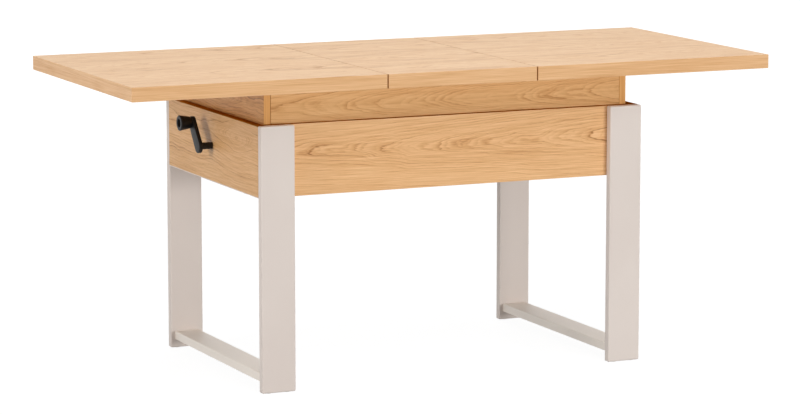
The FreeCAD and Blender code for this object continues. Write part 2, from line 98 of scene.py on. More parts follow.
def noise(tree, spot, scale, seed, detail, roughness):
    location = [seed * step for step in seedSteps]
    moved = addNode(tree, "Mapping", {"Vector": spot, "Location": location, "Scale": scale})
    return addNode(tree, "TexNoise", {"Vector": moved.outputs[0], "Scale": 1.0, "Detail": detail,
                                      "Roughness": roughness}).outputs[0]


def blankMaterial(name):
    made = bpy.data.materials.new(name)
    made.use_nodes = True
    tree = made.node_tree
    tree.nodes.clear()
    shader = addNode(tree, "BsdfPrincipled")
    tree.links.new(shader.outputs[0], addNode(tree, "OutputMaterial").inputs[0])
    return made, tree, shader


def dress(name, material):
    for slot in nodes[name].material_slots:
        slot.material = material


# oak decor: the tints of its paper from light to dark, and of edges that stand out from it
oakPaper = {
    "plainStops": [(0.0, tint(245, 203, 154)), (0.30, tint(232, 184, 132)), (0.55, tint(213, 160, 106)),
                   (0.80, tint(183, 128, 77)), (1.0, tint(145, 93, 52))],
    # painted shade: a darker copy of the plain paper, for the end aprons in the shade of the top above them
    "endApronShadeStops": [(0.0, tint(236, 196, 144)), (0.30, tint(222, 176, 122)), (0.55, tint(203, 153, 97)),
                    (0.80, tint(174, 121, 68)), (1.0, tint(136, 88, 44))],
    # painted shade: a darker, yellower copy of the plain paper, for the case's long boards in the shade under the
    # top's overhang
    "caseShadeStops": [(0.0, tint(240, 198, 143)), (0.30, tint(226, 178, 121)), (0.55, tint(207, 154, 96)),
                  (0.80, tint(177, 122, 68)), (1.0, tint(140, 88, 44))],
    # painted shade: a deeper, warmer copy of the plain paper, for the case's end boards in the shade under the top
    "caseEndShadeStops": [(0.0, tint(246, 198, 132)), (0.30, tint(232, 178, 111)), (0.55, tint(213, 154, 88)),
                   (0.80, tint(183, 122, 62)), (1.0, tint(145, 88, 40))],
    # painted light: a paler copy of the plain paper, for the top boards, standing in for the stronger light from
    # above and the sheen on them
    "topPaintedLightStops": [(0.0, tint(243, 205, 162)), (0.30, tint(231, 186, 139)), (0.55, tint(213, 163, 111)),
                  (0.80, tint(184, 131, 81)), (1.0, tint(146, 96, 55))],
    # painted shade: tints for the end walls in the narrow gap where two boards meet
    "jointShadeTints": (tint(158, 100, 50), tint(196, 136, 78)),
    # painted shade: tints for the aprons' top edge, down in the groove under the case
    "rimShadeTints": (tint(134, 76, 18), tint(172, 104, 30)),
    "sillTints": (tint(220, 206, 196), tint(228, 214, 205)),
    "edgeRange": (0.35, 0.65),  # of the tape's noise, from the dark tint to the light one
}

# noise layers of the print: seed offset, detail, roughness, then the scales along and across the grain,
# unless each board has its own
oakLayers = {
    "sway": (0.0, 2.0, 0.5),
    "drift": (3.1, 2.0, 0.5),
    "ripple": (5.3, 3.0, 0.5, 14, 85),
    "jag": (7.9, 2.0, 0.5, 34, 330),
    "fade": (9.7, 2.0, 0.5, 5, 30),
    "fibre": (13.0, 3.0, 0.6, 16, 430),
    "streak": (41.0, 2.0, 0.6),
    "pore": (17.0, 2.0, 0.5, 60, 1150),
    "fleck": (21.0, 1.0, 0.5),
    "tone": (25.0, 2.0, 0.5),
}

oakPrint = {
    "boldPower": 1.5, "boldLeast": 0.15,  # how the rings differ in strength
    "thinRings": 2.6, "thinShift": 50.0,  # finer lines between the rings
    "thinLine": [(0.0, 1.0), (0.3, 0.6), (0.6, 0.0), (0.85, 0.0), (1.0, 1.0)],
    "fade": (0.30, 0.62, 0.25, 1.0),  # from low, from high, to low, to high
    "pore": (0.60, 0.74, 0.0, 1.0),
    "fleck": (0.62, 0.74, 0.0, 1.0),
    "poreOffLine": 0.3,  # strength of the pores away from a line
    "faceDepth": 0.0003,
    "tapeSeed": (31.0, 3.0, 0.6), "tapeAlong": 7.0, "tapeThrough": 540.0, "tapeContrast": 0.9,
    "fibreRange": (0.25, 0.75), "roughness": (0.40, 0.56),
    "poreHeight": -0.6, "lineHeight": -0.5, "bump": 0.3, "bumpDepth": 0.00015,
    "ior": 1.5, "specular": 0.5,
}


# growth rings round a heart line: cut flat they give nested arches along it, or rings round an eye,
# and straight lines beside them
def oakBoard(name, look):
    made, tree, shader = blankMaterial("oak_" + name)
    low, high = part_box(name)
    middle, half = (low + high) / 2, (high - low) / 2
    spot = addNode(tree, "TexCoord").outputs["Object"]
    places = addNode(tree, "SeparateXYZ", {0: spot}).outputs
    lengthwise, sidewise, outwards = ("xyz".index(axis) for axis in look["axes"])
    along, across, out = places[lengthwise], places[sidewise], places[outwards]
    seed = look["seed"]

    def grain(layer):
        offset, detail, roughness, *shared = oakLayers[layer]
        alongScale, acrossScale = shared or look[layer + "Scale"]
        scale = [acrossScale] * 3
        scale[lengthwise] = alongScale
        return noise(tree, spot, scale, seed + offset, detail, roughness)

    # one dark line per ring, each with its own strength
    def rings(phase, shift, profile):
        ring = calc(tree, "ADD", calc(tree, "FLOOR", phase), seed + shift)
        bold = addNode(tree, "TexWhiteNoise", {"W": ring}, noise_dimensions="1D").outputs[0]
        bold = calc(tree, "POWER", bold, oakPrint["boldPower"])
        bold = calc(tree, "MULTIPLY_ADD", bold, 1 - oakPrint["boldLeast"], oakPrint["boldLeast"])
        greys = [(place, (grey,) * 3 + (1,)) for place, grey in profile]
        return calc(tree, "MULTIPLY", ramp(tree, calc(tree, "FRACT", phase), greys), bold)

    sway = calc(tree, "MULTIPLY_ADD", grain("sway"), look["sway"], -look["sway"] / 2 - look["heart"])
    side = calc(tree, "ADD", across, sway)
    if "leaf" in look:  # book-matched veneer leaves of this width
        side = calc(tree, "PINGPONG", side, look["leaf"])
    deep = look["round"] ** 2
    if "eye" in look:
        eyePlace, eyeLength = look["eye"]
        fromEye = calc(tree, "DIVIDE", calc(tree, "SUBTRACT", along, eyePlace), eyeLength)
        fromEye = calc(tree, "MULTIPLY", fromEye, fromEye)
        deep = calc(tree, "MULTIPLY", calc(tree, "DIVIDE", fromEye, calc(tree, "ADD", fromEye, 1.0)), deep)
    reach = calc(tree, "SQRT", calc(tree, "MULTIPLY_ADD", side, side, deep))
    reach = calc(tree, "MULTIPLY_ADD", grain("drift"), look["drift"], reach)
    reach = calc(tree, "MULTIPLY_ADD", along, look["slope"], reach)
    phase = calc(tree, "DIVIDE", reach, look["ring"])
    phase = calc(tree, "MULTIPLY_ADD", grain("ripple"), look["ripple"], phase)
    phase = calc(tree, "MULTIPLY_ADD", grain("jag"), look["jag"], phase)
    thinPhase = calc(tree, "MULTIPLY", phase, oakPrint["thinRings"])
    thin = rings(thinPhase, oakPrint["thinShift"], oakPrint["thinLine"])
    fade = spread(tree, grain("fade"), *oakPrint["fade"])
    fromHeart = calc(tree, "ABSOLUTE", side)
    nearHeart = spread(tree, fromHeart, 0.0, look["heartReach"], look["heartBoost"], 1.0)
    line = calc(tree, "MULTIPLY", rings(phase, 0.0, look["profile"]), fade)
    line = calc(tree, "MULTIPLY", line, nearHeart)

    fibre = grain("fibre")
    onLine = calc(tree, "MULTIPLY_ADD", line, 1 - oakPrint["poreOffLine"], oakPrint["poreOffLine"])
    pore = calc(tree, "MULTIPLY", spread(tree, grain("pore"), *oakPrint["pore"]), onLine)
    fleck = spread(tree, grain("fleck"), *oakPrint["fleck"])

    # the faces carry the printed grain, the edges a tape with straight lines along it
    toMiddle = calc(tree, "ABSOLUTE", calc(tree, "SUBTRACT", out, middle[outwards]))
    isFace = calc(tree, "LESS_THAN", calc(tree, "SUBTRACT", half[outwards], toMiddle), oakPrint["faceDepth"])
    tapeOffset, tapeDetail, tapeRoughness = oakPrint["tapeSeed"]
    tapeScale = [oakPrint["tapeAlong"]] * 3
    tapeScale[outwards] = oakPrint["tapeThrough"]
    tape = noise(tree, spot, tapeScale, seed + tapeOffset, tapeDetail, tapeRoughness)

    weights = look["weights"]
    shade = look["base"]
    for part, value in (("line", line), ("thin", thin), ("fleck", fleck), ("pore", pore),
                        ("fibre", centred(tree, fibre)), ("streak", centred(tree, grain("streak")))):
        shade = calc(tree, "MULTIPLY_ADD", value, weights[part], shade)
    tapeShade = calc(tree, "MULTIPLY_ADD", centred(tree, tape), oakPrint["tapeContrast"], look["tapeBase"])
    shade = addNode(tree, "Mix", {"Factor": isFace, "A": tapeShade, "B": shade}).outputs[0]
    shade = calc(tree, "MULTIPLY_ADD", centred(tree, grain("tone")), weights["tone"], shade)
    colour = ramp(tree, shade, oakPaper[look["paper"]])

    def edgeTone(tints):
        return ramp(tree, tape, list(zip(oakPaper["edgeRange"], oakPaper[tints])))

    # painted shade: the end walls of a board, where it meets the next across a narrow gap, are darkened
    if "joint" in look:  # strip on the edge of a board where two boards meet
        place, width = look["joint"]
        toJoint = calc(tree, "ABSOLUTE", calc(tree, "SUBTRACT", calc(tree, "ABSOLUTE", along), place))
        inJointShade = calc(tree, "GREATER_THAN", calc(tree, "LESS_THAN", toJoint, width), isFace)
        colour = blend(tree, inJointShade, colour, edgeTone("jointShadeTints"))
    # painted shade: the top edge, and a little of the face below it, darkened and without reflection, as in the
    # groove's shade under the case
    if "rim" in look:  # dark top edge, and how far it comes down the face
        onEdge, onFace = (calc(tree, "GREATER_THAN", across, high[sidewise] - depth) for depth in look["rim"])
        inRimShade = calc(tree, "MAXIMUM", calc(tree, "GREATER_THAN", onEdge, isFace), onFace)
        colour = blend(tree, inRimShade, colour, edgeTone("rimShadeTints"))
        dull = calc(tree, "MULTIPLY_ADD", inRimShade, -oakPrint["specular"], oakPrint["specular"])
        tree.links.new(dull, shader.inputs["Specular IOR Level"])
    if "sill" in look:  # pale strip along the bottom edge
        atSill = calc(tree, "LESS_THAN", across, low[sidewise] + look["sill"])
        colour = blend(tree, atSill, colour, edgeTone("sillTints"))
    tree.links.new(colour, shader.inputs["Base Color"])

    gloss = spread(tree, fibre, *oakPrint["fibreRange"], *oakPrint["roughness"])
    tree.links.new(gloss, shader.inputs["Roughness"])
    height = calc(tree, "MULTIPLY_ADD", line, oakPrint["lineHeight"], fibre)
    height = calc(tree, "MULTIPLY_ADD", pore, oakPrint["poreHeight"], height)
    bump = addNode(tree, "Bump", {"Strength": oakPrint["bump"], "Distance": oakPrint["bumpDepth"], "Height": height})
    tree.links.new(bump.outputs[0], shader.inputs["Normal"])
    shader.inputs["IOR"].default_value = oakPrint["ior"]
    dress(name, made)


# a ring's line from one ring to the next, and how strong each layer of the print is
softLine = [(0.0, 0.7), (0.08, 1.0), (0.25, 0.5), (0.55, 0.15), (0.93, 0.0), (1.0, 0.7)]
crispLine = [(0.0, 0.6), (0.05, 1.0), (0.15, 0.42), (0.40, 0.12), (0.95, 0.0), (1.0, 0.6)]
boldGrain = {"line": 0.55, "thin": 0.27, "fleck": 0.0, "pore": 0.20, "fibre": 0.46, "streak": 0.48, "tone": 0.14}
caseGrain = {**boldGrain, "line": 0.48, "thin": 0.30, "streak": 0.44}
quietGrain = {"line": 0.66, "thin": 0.30, "fleck": 0.17, "pore": 0.18, "fibre": 0.32, "streak": 0.60, "tone": 0.22}

# axes run along, across and out of the board; places and lengths are in metres
apronFront = {"axes": "xzy", "seed": 1.0, "heart": 0.529, "round": 0.036, "slope": -0.060, "ring": 0.0046,
              "sway": 0.016, "swayScale": (3.0, 4), "drift": 0.012, "driftScale": (7, 10), "ripple": 0.7,
              "jag": 0.34, "profile": crispLine, "heartReach": 0.03, "heartBoost": 1.3,
              "fleckScale": (17, 190), "toneScale": (2, 14), "streakScale": (5.5, 260),
              "base": 0.285, "tapeBase": 0.40, "rim": (0.0006, 0.0), "paper": "plainStops", "weights": boldGrain}
oakBoard("apron_front", apronFront)
apronBack = {**apronFront, "seed": 41.0, "heart": 0.500, "slope": 0.063}
oakBoard("apron_back", apronBack)

endBoard = {"axes": "yzx", "round": 0.030, "slope": 0.0, "ring": 0.0062,
            "sway": 0.030, "swayScale": (4, 6), "drift": 0.018, "driftScale": (7, 12), "ripple": 0.8,
            "jag": 0.30, "profile": crispLine, "heartReach": 0.03, "heartBoost": 1.2,
            "fleckScale": (17, 190), "toneScale": (4, 9), "streakScale": (7, 240), "weights": boldGrain}
# painted shade: the end aprons take the darker copy of the paper and a darker base than the front apron, for the
# shade of the top above them
apronLeft = {**endBoard, "seed": 63.0, "heart": 0.556, "eye": (-0.150, 0.070), "base": 0.33, "tapeBase": 0.42,
             "rim": (0.0006, 0.0018), "sill": 0.0022, "paper": "endApronShadeStops"}
oakBoard("apron_left", apronLeft)
apronRight = {**apronLeft, "seed": 85.0, "heart": 0.50, "eye": (0.060, 0.09)}
oakBoard("apron_right", apronRight)

# painted shade: the case's long boards take the darker, yellower copy of the paper, for their shade under the top
caseFront = {"axes": "xzy", "seed": 104.0, "heart": 0.628, "round": 0.034, "slope": -0.072, "ring": 0.0062,
             "sway": 0.012, "swayScale": (3, 4), "drift": 0.014, "driftScale": (6, 9), "ripple": 0.6,
             "jag": 0.30, "profile": crispLine, "heartReach": 0.05, "heartBoost": 1.1,
             "fleckScale": (17, 190), "toneScale": (3, 12), "streakScale": (4, 240),
             "base": 0.28, "tapeBase": 0.40, "joint": (0.4306, 0.0008), "paper": "caseShadeStops", "weights": caseGrain}
oakBoard("case_front", caseFront)
caseBack = {**caseFront, "seed": 126.0, "slope": 0.07}
oakBoard("case_back", caseBack)
# painted shade: the case's end boards take the warmer copy of the paper and a much darker base, for the deep shade
# and warm bounce light under the top
caseLeft = {**endBoard, "seed": 143.0, "heart": 0.63, "eye": (0.02, 0.08), "base": 0.45, "tapeBase": 0.46,
            "paper": "caseEndShadeStops"}
oakBoard("case_left", caseLeft)
caseRight = {**caseLeft, "seed": 168.0, "eye": (-0.06, 0.07)}
oakBoard("case_right", caseRight)

# painted light: the top boards take the paler copy of the paper and a very light base, for the light falling on the
# top and its sheen
topLeft = {"axes": "xyz", "seed": 207.0, "heart": 0.06, "leaf": 0.105, "round": 0.050, "slope": -0.095,
           "ring": 0.0088, "sway": 0.050, "swayScale": (1.6, 3), "drift": 0.022, "driftScale": (4, 7),
           "ripple": 0.7, "jag": 0.0, "profile": softLine, "heartReach": 0.05, "heartBoost": 1.3,
           "fleckScale": (44, 84), "toneScale": (2.5, 16), "streakScale": (17, 80),
           "base": 0.06, "tapeBase": 0.41, "joint": (0.1832, 0.0018), "paper": "topPaintedLightStops", "weights": quietGrain}
oakBoard("top_left", topLeft)
topLeaf = {**topLeft, "seed": 231.0, "heart": -0.03}
oakBoard("top_leaf", topLeaf)
topRight = {**topLeft, "seed": 258.0, "heart": 0.01}
oakBoard("top_right", topRight)
print("oak boards dressed")


# plain finishes: two close tints in a soft cloud, a fine surface texture, and gloss that varies a little
plainPattern = {"cloud": (1.3, 3.0, 0.55), "grain": (4.7, 2.0, 0.6),  # seed, detail, roughness
                "range": (0.3, 0.7), "cloudGloss": 0.6, "grainGloss": 0.4}


def plainFinish(name, look):
    made, tree, shader = blankMaterial("finish_" + name)
    spot = addNode(tree, "TexCoord").outputs["Object"]
    cloud = noise(tree, spot, look["cloudScale"], *plainPattern["cloud"])
    grain = noise(tree, spot, look["grainScale"], *plainPattern["grain"])
    mixed = calc(tree, "MULTIPLY_ADD", centred(tree, grain), look["grainMix"], cloud)
    tints = list(zip(plainPattern["range"], (look["dark"], look["light"])))
    tree.links.new(ramp(tree, mixed, tints), shader.inputs["Base Color"])
    gloss = calc(tree, "MULTIPLY", cloud, plainPattern["cloudGloss"])
    gloss = calc(tree, "MULTIPLY_ADD", grain, plainPattern["grainGloss"], gloss)
    gloss = spread(tree, gloss, *plainPattern["range"], *look["roughness"])
    tree.links.new(gloss, shader.inputs["Roughness"])
    bump = addNode(tree, "Bump", {"Strength": look["bump"], "Distance": look["bumpDepth"], "Height": grain})
    tree.links.new(bump.outputs[0], shader.inputs["Normal"])
    shader.inputs["Metallic"].default_value = look.get("metallic", 0.0)
    shader.inputs["Specular IOR Level"].default_value = look.get("specular", 0.5)
    return made


legLacquer = {"dark": tint(217, 205, 197), "light": tint(222, 211, 203), "cloudScale": (5, 5, 3),
              "grainScale": (330, 330, 330), "grainMix": 0.12, "roughness": (0.36, 0.46), "bump": 0.08,
              "bumpDepth": 0.0002}
# painted light: the foot rails take a lighter copy of the leg lacquer, for more light on their tops under the table
railLacquerPaintedLight = {**legLacquer, "dark": tint(241, 231, 220), "light": tint(246, 237, 226)}
blackPlastic = {"dark": tint(13, 13, 14), "light": tint(21, 20, 20), "cloudScale": (60, 60, 60),
                "grainScale": (1500, 1500, 1500), "grainMix": 0.5, "roughness": (0.42, 0.54), "bump": 0.18,
                "bumpDepth": 0.0001, "specular": 0.32}
zincSteel = {"dark": tint(170, 172, 174), "light": tint(192, 194, 196), "cloudScale": (40, 40, 40),
             "grainScale": (300, 300, 300), "grainMix": 0.6, "roughness": (0.34, 0.52), "bump": 0.12,
             "bumpDepth": 0.0001, "metallic": 1.0}
brightSteel = {"dark": tint(176, 177, 178), "light": tint(206, 207, 208), "cloudScale": (90, 30, 90),
               "grainScale": (900, 60, 900), "grainMix": 0.8, "roughness": (0.22, 0.36), "bump": 0.10,
               "bumpDepth": 0.0001, "metallic": 1.0}
trackAluminium = {"dark": tint(188, 190, 192), "light": tint(214, 215, 216), "cloudScale": (4, 200, 200),
                  "grainScale": (12, 1500, 1500), "grainMix": 0.8, "roughness": (0.30, 0.44), "bump": 0.10,
                  "bumpDepth": 0.0001, "metallic": 1.0}
nutBrass = {"dark": tint(186, 142, 74), "light": tint(214, 172, 100), "cloudScale": (400, 30, 30),
            "grainScale": (1800, 80, 80), "grainMix": 0.6, "roughness": (0.24, 0.40), "bump": 0.12,
            "bumpDepth": 0.0001, "metallic": 1.0}
beechWood = {"dark": tint(196, 156, 118), "light": tint(220, 184, 146), "cloudScale": (6, 90, 90),
             "grainScale": (60, 900, 900), "grainMix": 0.8, "roughness": (0.48, 0.62), "bump": 0.2,
             "bumpDepth": 0.00015}
brownHardboard = {"dark": tint(112, 78, 50), "light": tint(146, 106, 72), "cloudScale": (60, 60, 60),
                  "grainScale": (700, 500, 500), "grainMix": 0.9, "roughness": (0.55, 0.72), "bump": 0.25,
                  "bumpDepth": 0.00015}
whiteBoard = {"dark": tint(228, 227, 223), "light": tint(236, 235, 232), "cloudScale": (12, 12, 12),
              "grainScale": (420, 420, 420), "grainMix": 0.35, "roughness": (0.42, 0.54), "bump": 0.12,
              "bumpDepth": 0.00015}
glideNylon = {"dark": tint(222, 220, 212), "light": tint(234, 232, 226), "cloudScale": (90, 90, 90),
              "grainScale": (900, 900, 900), "grainMix": 0.4, "roughness": (0.40, 0.52), "bump": 0.12,
              "bumpDepth": 0.0001}

# each finish's look, and how the names of its nodes begin
finishNodes = {
    "leg_lacquer": (legLacquer, ("leg_front", "leg_back")),
    # painted light: the rails' lacquer is a lighter copy of the legs'
    "rail_lacquer_painted_light": (railLacquerPaintedLight, ("foot_rail",)),
    "black_plastic": (blackPlastic, ("crank_arm", "crank_grip", "spindle_bush")),
    "zinc_steel": (zincSteel, ("lower_channel", "upper_channel", "outer_arm_front", "outer_arm_back", "inner_arm",
                               "nut_bracket", "spindle_bearing")),
    "bright_steel": (brightSteel, ("lower_pivot_rod", "upper_pivot_rod", "cross_bar", "outer_arm_pins",
                                   "thrust_collars", "grip_axle", "leg_bolts", "base_screws", "case_screws",
                                   "runner_screws")),
    "track_aluminium": (trackAluminium, ("track_",)),
    "nut_brass": (nutBrass, ("spindle_nut",)),
    "beech": (beechWood, ("frame_dowels", "case_dowels", "runner_front", "runner_back")),
    "hardboard": (brownHardboard, ("leaf_tray",)),
    "white_board": (whiteBoard, ("carrier_rail", "tray_rail")),
    "glide_nylon": (glideNylon, ("foot_glides", "case_guides")),
}
finishes = {}
for finish, (look, starts) in finishNodes.items():
    finishes[finish] = plainFinish(finish, look)
    for name in nodes:
        if name.startswith(starts):
            dress(name, finishes[finish])
dress("spindle", finishes["bright_steel"])  # its name also begins those of other finishes
dressed = {name: nodes[name].material_slots[0].material.name for name in nodes}
bare = [name for name in nodes if not dressed[name].startswith(("oak_", "finish_"))]
print("plain finishes set, nodes left bare:", bare)


facing = 0.9  # least cosine between a face's normal and the way it should look
mergeDistance = 0.000002
smoothAngle = math.radians(32)


def deselectAll():
    if bpy.context.mode != "OBJECT":
        bpy.ops.object.mode_set(mode="OBJECT")
    bpy.ops.object.select_all(action="DESELECT")


def makeActive(piece):
    deselectAll()
    bpy.context.view_layer.objects.active = piece
    piece.select_set(True)


def editWhole():
    bpy.ops.object.mode_set(mode="EDIT")
    bpy.ops.mesh.select_all(action="SELECT")


# edit mode with only the faces selected that look the way given
def pickFaces(way):
    bpy.ops.object.mode_set(mode="EDIT")
    bpy.ops.mesh.select_mode(type="FACE")
    bpy.ops.mesh.select_all(action="DESELECT")
    bpy.ops.object.mode_set(mode="OBJECT")
    for face in bpy.context.object.data.polygons:
        face.select = face.normal.dot(way) > facing
    bpy.ops.object.mode_set(mode="EDIT")


# scales what is selected round the z axis
def widen(size):
    bpy.ops.transform.resize(value=(size, size, 1), center_override=(0, 0, 0))


# next step of a piece that stands on the z axis
def extrudeUp(rise, size=1.0):
    bpy.ops.mesh.extrude_region_move(TRANSFORM_OT_translate={"value": (0, 0, rise)})
    widen(size)


# joins a tool's shape to a piece or cuts it out, and takes the tool away
def combine(piece, tool, operation):
    makeActive(piece)
    change = piece.modifiers.new("change", "BOOLEAN")
    change.operation = operation
    change.solver = "EXACT"
    change.object = tool
    bpy.ops.object.modifier_apply(modifier="change")
    bpy.data.objects.remove(tool)


# finished piece: place in the mesh, clean normals, its finish, its body and the node it stands for
def settle(piece, name, finish, body, node=None):
    makeActive(piece)
    bpy.ops.object.transform_apply(location=True, rotation=True, scale=True)
    editWhole()
    bpy.ops.mesh.remove_doubles(threshold=mergeDistance)
    bpy.ops.mesh.normals_make_consistent(inside=False)
    bpy.ops.object.mode_set(mode="OBJECT")
    bpy.ops.object.shade_smooth_by_angle(angle=smoothAngle)
    piece.name = name
    piece.data.materials.clear()
    piece.data.materials.append(finishes[finish])
    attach(piece, body)
    if node:
        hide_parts(node)


# leg bolts: flush heads with a hexagon socket, modelled once and copied to the eight holes
legBolt = {"head": 0.012, "headDepth": 0.003, "cone": 0.88, "headEdge": 0.96,
           "shank": 0.006, "length": 0.029, "sides": 40, "tip": 0.0012, "tipSize": 0.7,
           "socket": 0.0028, "socketDepth": 0.0022, "drillPoint": 0.0008, "drillSize": 0.2,
           "along": (-0.421, 0.421), "across": (-0.261, 0.261), "up": (0.469, 0.559)}

deselectAll()
shankLength = legBolt["length"] - legBolt["headDepth"] - legBolt["tip"]
bpy.ops.mesh.primitive_cylinder_add(vertices=legBolt["sides"], radius=legBolt["shank"] / 2, depth=shankLength,
                                    location=(0, 0, -legBolt["headDepth"] - shankLength / 2))
bolt = bpy.context.object
bpy.ops.object.transform_apply(location=True)
pickFaces((0, 0, 1))
extrudeUp(legBolt["headDepth"] * legBolt["cone"], legBolt["head"] / legBolt["shank"])
extrudeUp(legBolt["headDepth"] * (1 - legBolt["cone"]), legBolt["headEdge"])
pickFaces((0, 0, -1))
extrudeUp(-legBolt["tip"], legBolt["tipSize"])
bpy.ops.object.mode_set(mode="OBJECT")
bpy.ops.mesh.primitive_cylinder_add(vertices=6, radius=legBolt["socket"], depth=legBolt["socketDepth"] * 2,
                                    location=(0, 0, 0))
socket = bpy.context.object
pickFaces((0, 0, -1))
extrudeUp(-legBolt["drillPoint"], legBolt["drillSize"])
combine(bolt, socket, "DIFFERENCE")
bolts = []
for x in legBolt["along"]:
    for y in legBolt["across"]:
        for z in legBolt["up"]:
            makeActive(bolt)
            bpy.ops.object.duplicate()
            copy = bpy.context.object
            copy.location = (x, y, z)
            copy.rotation_euler = (math.copysign(math.pi / 2, y), 0, 0)
            bolts.append(copy)
bpy.data.objects.remove(bolt)
deselectAll()
for copy in bolts:
    copy.select_set(True)
bpy.context.view_layer.objects.active = bolts[0]
bpy.ops.object.transform_apply(location=True, rotation=True, scale=True)
bpy.ops.object.join()
settle(bpy.context.object, "leg_bolts_socket", "bright_steel", "base", "leg_bolts")
print("leg bolts modelled")

# thread on the spindle, along the stretch beside the nut: one ridge wound with the screw modifier
thread = {"start": -0.2755, "turns": 24, "pitch": 0.003, "root": 0.00515, "crest": 0.00612, "rootWidth": 0.0022,
          "crestWidth": 0.0009, "height": 0.5165, "steps": 28}

deselectAll()
bpy.ops.mesh.primitive_plane_add(size=1.0, rotation=(math.pi / 2, 0, 0))
ridge = bpy.context.object
bpy.ops.object.transform_apply(rotation=True)
for corner in ridge.data.vertices:
    edge = "crest" if corner.co.z > 0 else "root"
    corner.co = (math.copysign(thread[edge + "Width"] / 2, corner.co.x), 0, thread[edge])
editWhole()
bpy.ops.mesh.delete(type="ONLY_FACE")
bpy.ops.object.mode_set(mode="OBJECT")
wind = ridge.modifiers.new("wind", "SCREW")
wind.axis = "X"
wind.screw_offset = thread["pitch"]
wind.iterations = thread["turns"]
wind.steps = wind.render_steps = thread["steps"]
wind.use_merge_vertices = False
bpy.ops.object.modifier_apply(modifier="wind")
editWhole()
bpy.ops.mesh.fill_holes(sides=4)  # the two open ends
bpy.ops.object.mode_set(mode="OBJECT")
ridge.location = (thread["start"], 0, thread["height"])
settle(ridge, "spindle_thread", "bright_steel", "crank")
print("spindle thread wound")

# grip axle: shouldered pin whose head, down in the grip's recess, has a cross recess
gripAxle = {"place": (-0.4964, 0.038787, 0.566145), "pin": 0.008, "pinLength": 0.0256, "sides": 48,
            "head": 0.014, "headThick": 0.004, "headRound": 0.0008,
            "roundSteps": ((0.7, 0.965), (0.3, 0.93)),  # share of the rounding's height, and how far it draws in
            "cross": 0.0013, "crossReach": 0.0042, "crossDepth": 0.0022, "crossTaper": 0.45}

deselectAll()
bpy.ops.mesh.primitive_cylinder_add(vertices=gripAxle["sides"], radius=gripAxle["pin"] / 2,
                                    depth=gripAxle["pinLength"], location=(0, 0, gripAxle["pinLength"] / 2))
axle = bpy.context.object
bpy.ops.object.transform_apply(location=True)
pickFaces((0, 0, 1))
extrudeUp(0, gripAxle["head"] / gripAxle["pin"])
extrudeUp(gripAxle["headThick"] - gripAxle["headRound"])
for share, size in gripAxle["roundSteps"]:
    extrudeUp(gripAxle["headRound"] * share, size)
bpy.ops.object.mode_set(mode="OBJECT")
headTop = gripAxle["pinLength"] + gripAxle["headThick"]
for turn in (0, math.pi / 2):
    bpy.ops.mesh.primitive_cube_add(size=1.0, location=(0, 0, headTop), rotation=(0, 0, turn),
                                    scale=(gripAxle["crossReach"] * 2, gripAxle["cross"], gripAxle["crossDepth"] * 2))
    blade = bpy.context.object
    bpy.ops.object.transform_apply(location=True, rotation=True, scale=True)
    pickFaces((0, 0, -1))
    widen(gripAxle["crossTaper"])
    combine(axle, blade, "DIFFERENCE")
axle.location = gripAxle["place"]
axle.rotation_euler = (0, -math.pi / 2, 0)
settle(axle, "grip_axle_cross", "bright_steel", "crank", "grip_axle")
print("grip axle modelled")

# crank arm: a tapered blade wrapped round its two ends, rounded, with the hub sleeve on its inner side
crankArm = {"inner": -0.4964, "outer": -0.5052, "hub": (0.0, 0.5165), "tip": (0.038787, 0.566145),
            "hubRound": 0.0156, "tipRound": 0.0140, "sides": 96, "flatAngle": 0.5,
            "edge": 0.0014, "edgeSteps": 4, "edgeAngle": 50,
            "sleeve": 0.0078, "sleeveEnd": -0.4694, "sleeveRoot": 0.002, "sleeveSides": 64,
            "chamfer": 0.0006, "chamferSteps": 2,
            "bore": 0.0040, "boreSides": 48, "driveStart": -0.5012, "drillPast": 0.001}


# solid rod along x from one place to another
def addRod(start, stop, radius, y, z, sides):
    bpy.ops.mesh.primitive_cylinder_add(vertices=sides, radius=radius, depth=abs(stop - start),
                                        location=((start + stop) / 2, y, z), rotation=(0, math.pi / 2, 0))


deselectAll()
addRod(crankArm["inner"], crankArm["outer"], crankArm["hubRound"], *crankArm["hub"], crankArm["sides"])
arm = bpy.context.object
bpy.ops.object.transform_apply(location=True, rotation=True)
bpy.ops.object.mode_set(mode="EDIT")
addRod(crankArm["inner"], crankArm["outer"], crankArm["tipRound"], *crankArm["tip"], crankArm["sides"])
bpy.ops.mesh.select_all(action="SELECT")
bpy.ops.mesh.convex_hull()
bpy.ops.mesh.dissolve_limited(angle_limit=math.radians(crankArm["flatAngle"]))
bpy.ops.object.mode_set(mode="OBJECT")
rounding = arm.modifiers.new("rounding", "BEVEL")
rounding.width = crankArm["edge"]
rounding.segments = crankArm["edgeSteps"]
rounding.limit_method = "ANGLE"
rounding.angle_limit = math.radians(crankArm["edgeAngle"])
bpy.ops.object.modifier_apply(modifier="rounding")

deselectAll()
addRod(crankArm["inner"] - crankArm["sleeveRoot"], crankArm["sleeveEnd"], crankArm["sleeve"], *crankArm["hub"],
       crankArm["sleeveSides"])
sleeve = bpy.context.object
bpy.ops.object.transform_apply(location=True, rotation=True)
pickFaces((1, 0, 0))  # a small chamfer at the panel
bpy.ops.mesh.bevel(offset=crankArm["chamfer"], segments=crankArm["chamferSteps"], affect="EDGES")
combine(arm, sleeve, "UNION")
bores = ((crankArm["driveStart"], crankArm["sleeveEnd"] + crankArm["drillPast"], crankArm["hub"]),
         (crankArm["outer"] - crankArm["drillPast"], crankArm["inner"] + crankArm["drillPast"], crankArm["tip"]))
for start, stop, centre in bores:
    deselectAll()
    addRod(start, stop, crankArm["bore"], *centre, crankArm["boreSides"])
    combine(arm, bpy.context.object, "DIFFERENCE")
settle(arm, "crank_arm_moulded", "black_plastic", "crank", "crank_arm")
print("crank arm modelled")

